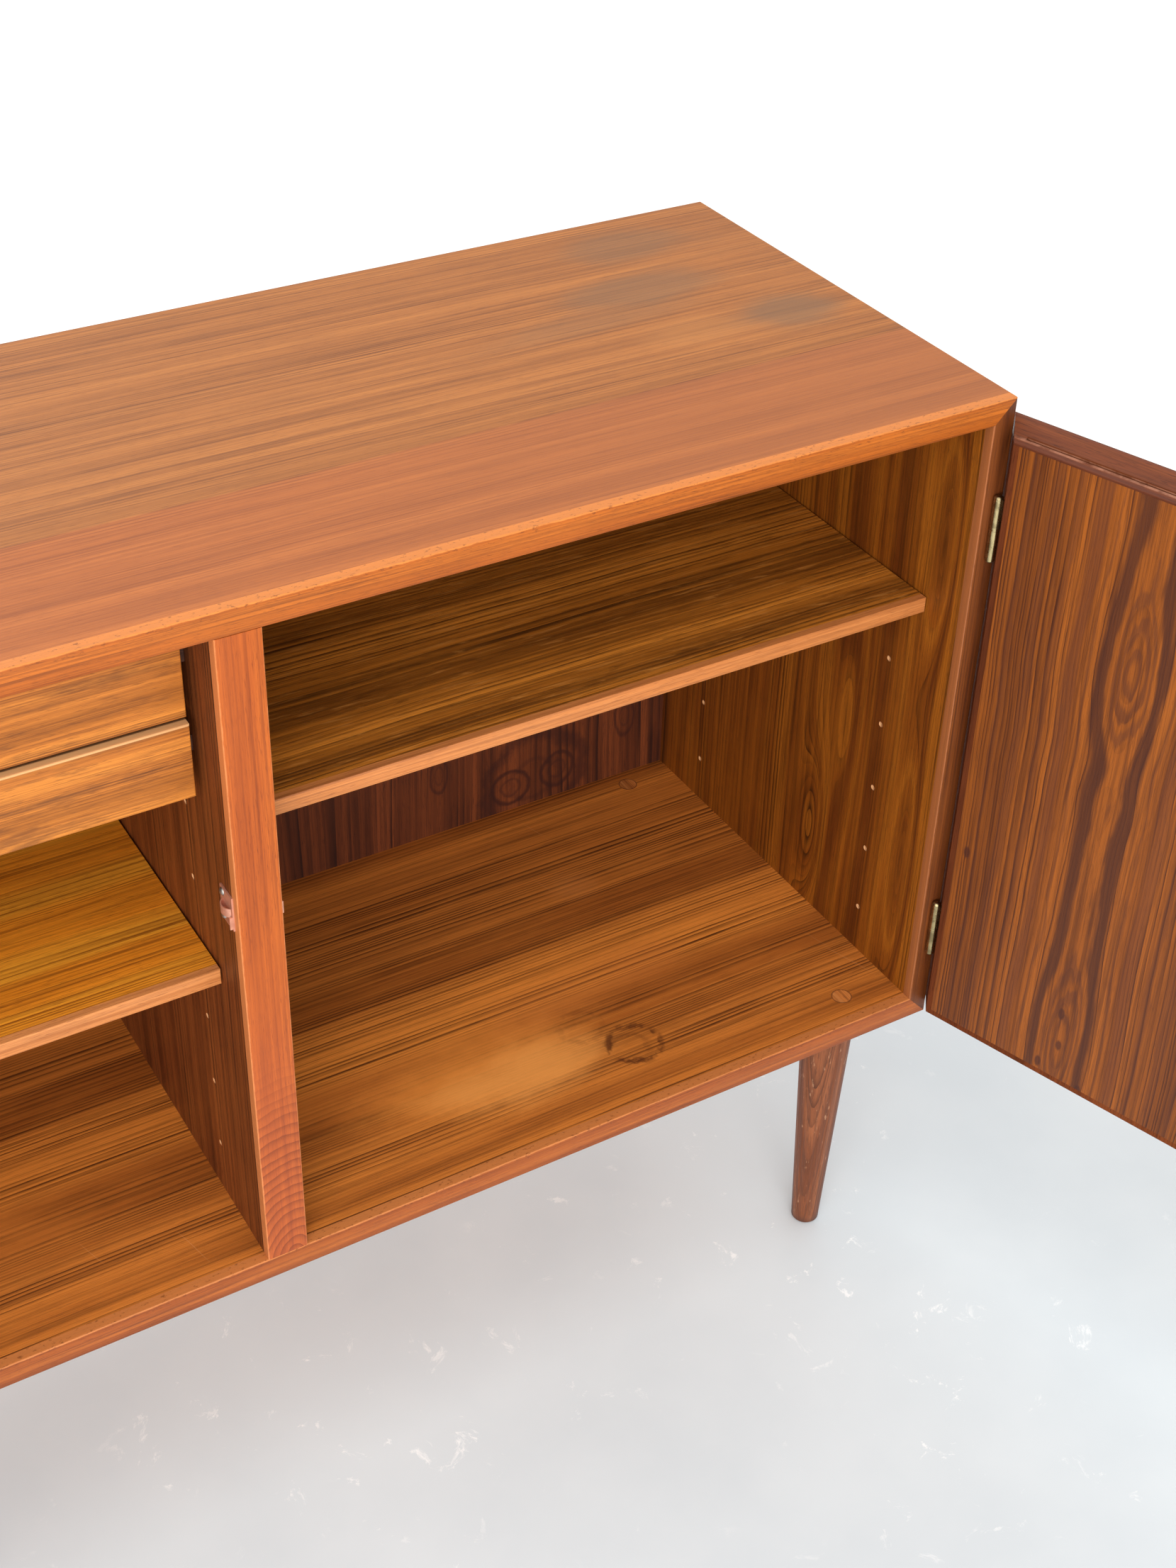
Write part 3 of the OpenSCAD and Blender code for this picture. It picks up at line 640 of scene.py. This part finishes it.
bottom_wood = wood(
    "striped teak bottom", Lie((DIVIDER_X, FRONT_Y, BAY_FLOOR_Z), X, Y),
    [(171, 95, 35), (205, 121, 48), (231, 140, 56)], (86, 45, 16),
    drift=0.010, drift_length=1.3, drift_width=3.0, stripe=14.0, rings=260.0, ring_depth=0.95, clusters=20.0,
    pore_depth=0.30, fibre_depth=0.30, mottle=0.15, seed=5.0, gloss=0.40, after=floor_story)

side_wood = wood(
    "flame teak sides", Lie((BAY_RIGHT_X, FRONT_Y, CASE_BASE_Z), Z, Y),
    [(102, 48, 10), (133, 69, 14), (158, 89, 21)], (58, 27, 4),
    drift=0.022, drift_length=1.6, drift_width=4.0, stripe=26.0, rings=210.0, ring_depth=0.55, seed=9.0,
    gloss=0.40,
    swirls=[((0.457, 0.032), (0.11, 0.016), 0.050), ((0.142, 0.034), (0.12, 0.014), 0.050),
            ((0.103, 0.160), (0.075, 0.018), 0.045), ((0.239, 0.124), (0.09, 0.016), 0.035)],
    after=bare_core(*HOLE_DEPTHS, BAY_RIGHT_X, 1.0))

left_side_wood = wood(
    "flame teak left side", Lie((-BAY_RIGHT_X, FRONT_Y, CASE_BASE_Z), Z, Y),
    [(96, 44, 16), (124, 64, 22), (148, 82, 30)], (54, 24, 8),
    drift=0.022, drift_length=1.6, drift_width=4.0, stripe=26.0, rings=210.0, ring_depth=0.55, seed=14.0,
    gloss=0.40, swirls=[((0.30, 0.12), (0.15, 0.020), 0.050)],
    after=bare_core(*HOLE_DEPTHS, -BAY_RIGHT_X, -1.0))


def divider_story(tree, colour, rough, u, v, w):
    deep = tree.add(DIVIDER_X, tree.times(tree.math("ABSOLUTE", tree.along(tree.place, X)), -1.0))
    return tree.blend(tree.between(deep, 0.0003, 0.0005), colour, BARE_CORE), rough


divider_wood = wood(
    "teak divider faces", Lie((0, FRONT_Y, CASE_BASE_Z), Z, Y),
    [(102, 49, 20), (130, 67, 28), (151, 82, 36)], (51, 21, 10),
    drift=0.012, drift_length=1.4, drift_width=4.0, stripe=30.0, rings=210.0, ring_depth=0.7, seed=21.0,
    gloss=0.40, after=divider_story)

top_edge_wood = wood(
    "solid teak top edge", Lie((0, FRONT_Y, TOP_Z), X, Z),
    [(151, 73, 16), (168, 86, 22), (181, 97, 28)], (91, 43, 11),
    drift=0.004, stripe=70.0, rings=420.0, ring_depth=0.30, seed=31.0, gloss=0.42,
    after=edge_story(TOP_Z, (226, 140, 66)))
bottom_edge_wood = wood(
    "solid teak bottom edge", Lie((0, FRONT_Y, BAY_FLOOR_Z), X, Z),
    [(142, 70, 24), (160, 82, 30), (174, 94, 36)], (96, 44, 20),
    drift=0.004, stripe=70.0, rings=420.0, ring_depth=0.30, seed=33.0, gloss=0.42,
    after=edge_story(BAY_FLOOR_Z, (214, 136, 74)))
upright_edge_wood = wood(
    "solid teak upright edges", Lie((RIGHT_X, FRONT_Y, CASE_BASE_Z), Z, X),
    [(100, 48, 16), (118, 60, 22), (134, 72, 28)], (58, 26, 10),
    drift=0.006, stripe=70.0, rings=380.0, ring_depth=0.4, seed=35.0, gloss=0.42,
    after=upright_story(BAY_RIGHT_X, RIGHT_X, (172, 104, 60)))
divider_edge_wood = wood(
    "solid teak divider edge", Lie((0.007, FRONT_Y, CASE_BASE_Z + 0.075), Z, X),
    [(156, 72, 18), (171, 82, 23), (185, 93, 28)], (108, 43, 11),
    drift=0.003, stripe=50.0, rings=300.0, ring_depth=0.25, streak_depth=0.25, seed=37.0, gloss=0.42,
    after=divider_edge_story)
shelf_edge_wood = wood(
    "solid teak shelf edge", Lie((0, SHELF_LOW.y, SHELF_HIGH.z), X, Z),
    [(176, 102, 48), (194, 120, 62), (208, 138, 80)], (128, 70, 34),
    drift=0.004, stripe=60.0, rings=300.0, ring_depth=0.45, seed=39.0, gloss=0.44)
right_shelf_wood = wood(
    "rough cut teak shelf", Lie((0, FRONT_Y, SHELF_HIGH.z), X, Y),
    [(140, 81, 23), (192, 116, 36), (232, 146, 51)], (76, 42, 11),
    drift=0.022, drift_length=2.0, drift_width=6.0, stripe=18.0, rings=190.0, ring_depth=0.75, clusters=14.0,
    pore_depth=0.2, mottle=0.1, seed=43.0, gloss=0.38, relief=0.5, after=shelf_story)
left_shelf_wood = wood(
    "honey teak shelf", Lie((0, FRONT_Y, SHELF_HIGH.z), X, Y),
    [(212, 124, 26), (234, 142, 34), (235, 158, 45)], (129, 70, 16),
    drift=0.012, drift_length=1.6, drift_width=5.0, stripe=20.0, rings=240.0, ring_depth=0.60,
    streak_depth=0.7, seed=47.0, gloss=0.38)
back_wood = wood(
    "crotch figured teak back", Lie((0, BACK_Y, BAY_FLOOR_Z), Z, X),
    [(80, 35, 13), (99, 46, 18), (116, 56, 24)], (46, 17, 7),
    drift=0.03, drift_length=2.0, drift_width=6.0, stripe=30.0, rings=120.0, ring_depth=0.8, seed=51.0,
    gloss=0.5,
    after=back_story)
door_wood = [wood(
    f"dark striped teak door {side}", Lie(start, Z, run),
    [(116, 59, 13), (137, 72, 16), (152, 82, 21)], (65, 27, 7),
    drift=0.016, drift_length=1.8, drift_width=4.0, ripple=0.003, stripe=24.0, rings=290.0, ring_depth=0.95,
    clusters=26.0, pore_depth=0.35, mottle=0.12, seed=seed, gloss=0.42, lean=0.0, after=door_story,
    hearts=(HEART_RUN, HEART_DEPTH, EYES))
    for side, start, run, seed in (
        ("right", Vector((HINGE_POINT.x, HINGE_POINT.y, 0)), DOOR_RUN, 63.0),
        ("left", mirrored((HINGE_POINT.x, HINGE_POINT.y, 0)), mirrored(DOOR_RUN), 71.0))]
rail_wood = [wood(
    f"solid teak door rail {side}", Lie(start, run, Z),
    [(84, 38, 13), (102, 48, 19), (117, 59, 26)], (52, 19, 6),
    drift=0.008, stripe=50.0, rings=300.0, ring_depth=0.6, seed=seed, gloss=0.40, after=rail_story)
    for side, start, run, seed in (
        ("right", HINGE_POINT, DOOR_RUN, 75.0), ("left", mirrored(HINGE_POINT), mirrored(DOOR_RUN), 77.0))]
# door edges: dull, dark wood; the darkness is partly dirt and partly painted shade, for the slanted hinge
# edge that sits in shadow beside the case
door_edge_wood = wood(
    "solid teak door edges", Lie((0, 0, 0), Z, X), [(92, 44, 22), (108, 54, 28), (122, 64, 34)], (56, 26, 14),
    stripe=60.0, rings=380.0, ring_depth=0.4, seed=79.0, gloss=0.75, sheen=0.04)
drawer_front_wood = wood(
    "teak drawer fronts", Lie((0, FRONT_Y, CEILING_Z), X, Z),
    [(161, 92, 29), (186, 109, 39), (205, 126, 48)], (98, 51, 16),
    drift=0.008, drift_length=1.8, drift_width=8.0, stripe=50.0, rings=420.0, ring_depth=0.5, seed=83.0,
    gloss=0.50, after=drawer_story)
drawer_box_wood = wood(
    "bare drawer wood", Lie((0, FRONT_Y, CEILING_Z), Y, X),
    [(190, 144, 94), (206, 162, 112), (218, 178, 130)], (160, 112, 68),
    stripe=40.0, rings=260.0, ring_depth=0.35, seed=87.0, gloss=0.6)
runner_wood = wood(
    "dark runner wood", Lie((0, FRONT_Y, CEILING_Z), Y, Z),
    [(62, 34, 20), (80, 44, 28), (96, 56, 36)], (40, 20, 12),
    stripe=60.0, rings=400.0, ring_depth=0.4, seed=89.0, gloss=0.5)
leg_wood = wood(
    "stained legs", Lie((0, 0, 0), Z, X), [(106, 56, 30), (126, 69, 38), (144, 84, 49)], (72, 37, 19),
    drift=0.004, drift_length=3.0, drift_width=20.0, stripe=60.0, rings=460.0, ring_depth=0.45, seed=91.0,
    gloss=0.42, lean=0.8, after=leg_story)
plug_wood = wood(
    "end grain plugs", Lie((0, 0, 0), Y, X), [(186, 108, 48), (206, 124, 58), (216, 138, 72)], (110, 58, 26),
    stripe=120.0, rings=700.0, ring_depth=0.35, seed=95.0, after=plug_story)

aged_brass = metal("aged brass", (176, 158, 116), (96, 78, 50), 0.14, 0.6)
copper_plate = metal("copper coloured steel", (222, 164, 138), (176, 112, 88), 0.34, 0.4, 0.65)
dull_zinc = metal("dull zinc", (190, 188, 182), (120, 116, 108), 0.30, 0.5)

# ---------- pieces ----------
FRONT_ALONG_X = runs(X, FRONT_Y, Y)
FRONT_ALONG_Z = runs(Z, FRONT_Y, Y)

softened("top_edging", "top_edge_strip", top_edge_wood, 0.9 * MM, FRONT_ALONG_X)
softened("bottom_edging", "bottom_edge_strip", bottom_edge_wood, 0.9 * MM, FRONT_ALONG_X)
softened("side_right_edging", "right_edge_strip", upright_edge_wood, 0.9 * MM, FRONT_ALONG_Z)
softened("side_left_edging", "left_edge_strip", upright_edge_wood, 0.9 * MM, FRONT_ALONG_Z)
softened("divider_edging", "divider_edge_strip", divider_edge_wood, 1.0 * MM, FRONT_ALONG_Z)
for side in ("right", "left"):
    shelf_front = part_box(f"shelf_{side}_edging")[0].y
    softened(f"shelf_{side}_edging", f"{side}_shelf_edge_strip", shelf_edge_wood, 0.8 * MM,
             lambda e, y=shelf_front: all(abs(v.co.y - y) < 0.0004 for v in e.verts))
for level in ("upper", "lower"):
    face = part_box(f"drawer_{level}_front")[0].y
    softened(f"drawer_{level}_front", f"{level}_drawer_face", drawer_front_wood, 1.2 * MM,
             lambda e, y=face: all(abs(v.co.y - y) < 0.0004 for v in e.verts))
for side, run, rail in (("right", DOOR_RUN, rail_wood[0]), ("left", mirrored(DOOR_RUN), rail_wood[1])):
    softened(f"door_{side}_rail", f"{side}_door_finger_rail", rail, 0.5 * MM, runs(run), 2)

for node, finish in (
        ("top_panel", top_wood), ("bottom_panel", bottom_wood), ("side_right", side_wood),
        ("side_left", left_side_wood), ("divider", divider_wood), ("back_panel", back_wood),
        ("shelf_right", right_shelf_wood), ("shelf_left", left_shelf_wood),
        ("door_right_panel", door_wood[0]), ("door_left_panel", door_wood[1]),
        ("door_right_edging", door_edge_wood), ("door_left_edging", door_edge_wood),
        ("drawer_runners", runner_wood), ("leg_plugs", plug_wood)):
    finish_node(node, finish)
for level in ("upper", "lower"):
    for part in ("sides", "back", "bottom"):
        finish_node(f"drawer_{level}_{part}", drawer_box_wood)

for end in ("front", "back"):
    for side in ("right", "left"):
        smoothed(f"leg_{end}_{side}", f"turned_leg_{end}_{side}", leg_wood)
for node, name, finish in (
        ("hinge_frame_halves", "hinge_lower_barrels", aged_brass),
        ("hinge_rings", "hinge_barrel_rings", aged_brass),
        ("door_right_hinges", "right_door_hinge_barrels", aged_brass),
        ("door_left_hinges", "left_door_hinge_barrels", aged_brass),
        ("catch_plates", "catch_base_plates", copper_plate),
        ("catch_springs", "catch_bow_springs", copper_plate),
        ("catch_screws", "catch_domed_screws", dull_zinc), ("shelf_pins", "spoon_shelf_pins", dull_zinc),
        ("back_screws", "back_panel_screws", dull_zinc), ("runner_screws", "runner_wood_screws", dull_zinc),
        ("leg_bolts", "leg_fixing_bolts", dull_zinc),
        ("door_right_strike", "right_door_strike_peg", dull_zinc),
        ("door_left_strike", "left_door_strike_peg", dull_zinc),
        ("door_right_strike_screws", "right_strike_screws", dull_zinc),
        ("door_left_strike_screws", "left_strike_screws", dull_zinc)):
    smoothed(node, name, finish)


# ---------- room ----------
def sheet(name, corners, finish):
    shape = bmesh.new()
    shape.faces.new([shape.verts.new(c) for c in corners])
    mesh = bpy.data.meshes.new(name)
    shape.to_mesh(mesh)
    shape.free()
    piece = bpy.data.objects.new(name, mesh)
    bpy.context.scene.collection.objects.link(piece)
    mesh.materials.append(finish)


def painted_board():
    """White painted board that carries on behind the floor, so that every side can be looked at."""
    tree = Tree("white painted board")
    tree.shader.inputs["Base Color"].default_value = shade((252, 251, 249))
    tree.shader.inputs["Roughness"].default_value = 0.85
    soft = tree.noise(tree.place, 18.0, 4.0, 0.6)
    tree.put(tree.shader.inputs["Normal"], tree.bump(soft, 0.08, 0.002))
    return tree.material


def polished_concrete():
    """Pale sealed floor with faint clouds and small chalky scuffs."""
    tree = Tree("pale sealed floor")
    cloud = tree.noise(tree.place, 3.0, 5.0, 0.55)
    colour = tree.blend(tree.between(cloud, 0.3, 0.7), (200, 207, 211), (209, 215, 218))
    scuff = tree.noise(tree.place, 26.0, 6.0, 0.75, 0.6)
    where = tree.noise(tree.place, 2.6, 3.0, 0.6)
    scuff = tree.times(tree.between(scuff, 0.60, 0.68), tree.between(where, 0.46, 0.62))
    colour = tree.blend(tree.times(scuff, 0.7), colour, (244, 244, 243))
    tree.put(tree.shader.inputs["Base Color"], colour)
    tree.put(tree.shader.inputs["Roughness"], tree.add(0.30, tree.times(cloud, 0.2)))
    tree.shader.inputs["Specular IOR Level"].default_value = 0.35
    return tree.material


FLOOR_END_Y = BACK_Y + 0.14
SHEET_X, SHEET_FRONT_Y, SHEET_BACK_Y = 6, -7, 7


def ground(name, near_y, far_y, finish):
    corners = [(-SHEET_X, near_y, 0), (SHEET_X, near_y, 0), (SHEET_X, far_y, 0), (-SHEET_X, far_y, 0)]
    sheet(name, corners, finish)


ground("room_floor", SHEET_FRONT_Y, FLOOR_END_Y, polished_concrete())
ground("pale_ground_behind", FLOOR_END_Y, SHEET_BACK_Y, painted_board())


# ---------- light and camera ----------
def soft_box(name, place, aim, width, height, power):
    light = bpy.data.lights.new(name, "AREA")
    light.shape = "RECTANGLE"
    light.size = width
    light.size_y = height
    light.energy = power
    light.color = (1.0, 0.985, 0.965)
    lamp = bpy.data.objects.new(name, light)
    lamp.location = place
    lamp.rotation_euler = (Vector(aim) - Vector(place)).to_track_quat("-Z", "Y").to_euler()
    bpy.context.scene.collection.objects.link(lamp)


soft_box("overhead_soft_light", (-0.4, -1.4, 3.2), (-0.1, -0.6, 0.2), 3.4, 2.6, 36)
soft_box("front_soft_light", (-1.5, -3.0, 1.6), (0.1, -0.2, 0.30), 3.0, 2.2, 92)
soft_box("low_front_fill", (-0.7, -2.3, 0.85), (0.0, -0.3, 0.15), 1.8, 0.8, 14)
soft_box("back_soft_light", (-0.6, 2.6, 2.6), (0.0, 0.3, 0.4), 2.6, 1.6, 30)

world = bpy.data.worlds.new("soft room light")
world.use_nodes = True
world.node_tree.nodes["Background"].inputs["Color"].default_value = (1.0, 1.0, 1.0, 1.0)
world.node_tree.nodes["Background"].inputs["Strength"].default_value = 1.0
bpy.context.scene.world = world
bpy.context.scene.view_settings.view_transform = "Standard"

EYE = Vector((-0.4070, -1.2790, 1.5464))
HEADING = math.radians(31.68)
TILT_DOWN = math.radians(36.125)
ROLL = math.radians(1.766)
LENS_MM, SENSOR_HEIGHT_MM = 50.295, 36
look = Vector((math.sin(HEADING) * math.cos(TILT_DOWN), math.cos(HEADING) * math.cos(TILT_DOWN),
               -math.sin(TILT_DOWN)))
level = Vector((math.cos(HEADING), -math.sin(HEADING), 0))
rise = level.cross(look)
right = level * math.cos(ROLL) + rise * math.sin(ROLL)
lens = bpy.data.cameras.new("view")
lens.sensor_fit = "VERTICAL"
lens.sensor_height = SENSOR_HEIGHT_MM
lens.lens = LENS_MM
camera = bpy.data.objects.new("view", lens)
turn = Matrix((right, right.cross(look), -look)).transposed().to_4x4()
camera.matrix_world = Matrix.Translation(EYE) @ turn
bpy.context.scene.collection.objects.link(camera)
bpy.context.scene.camera = camera
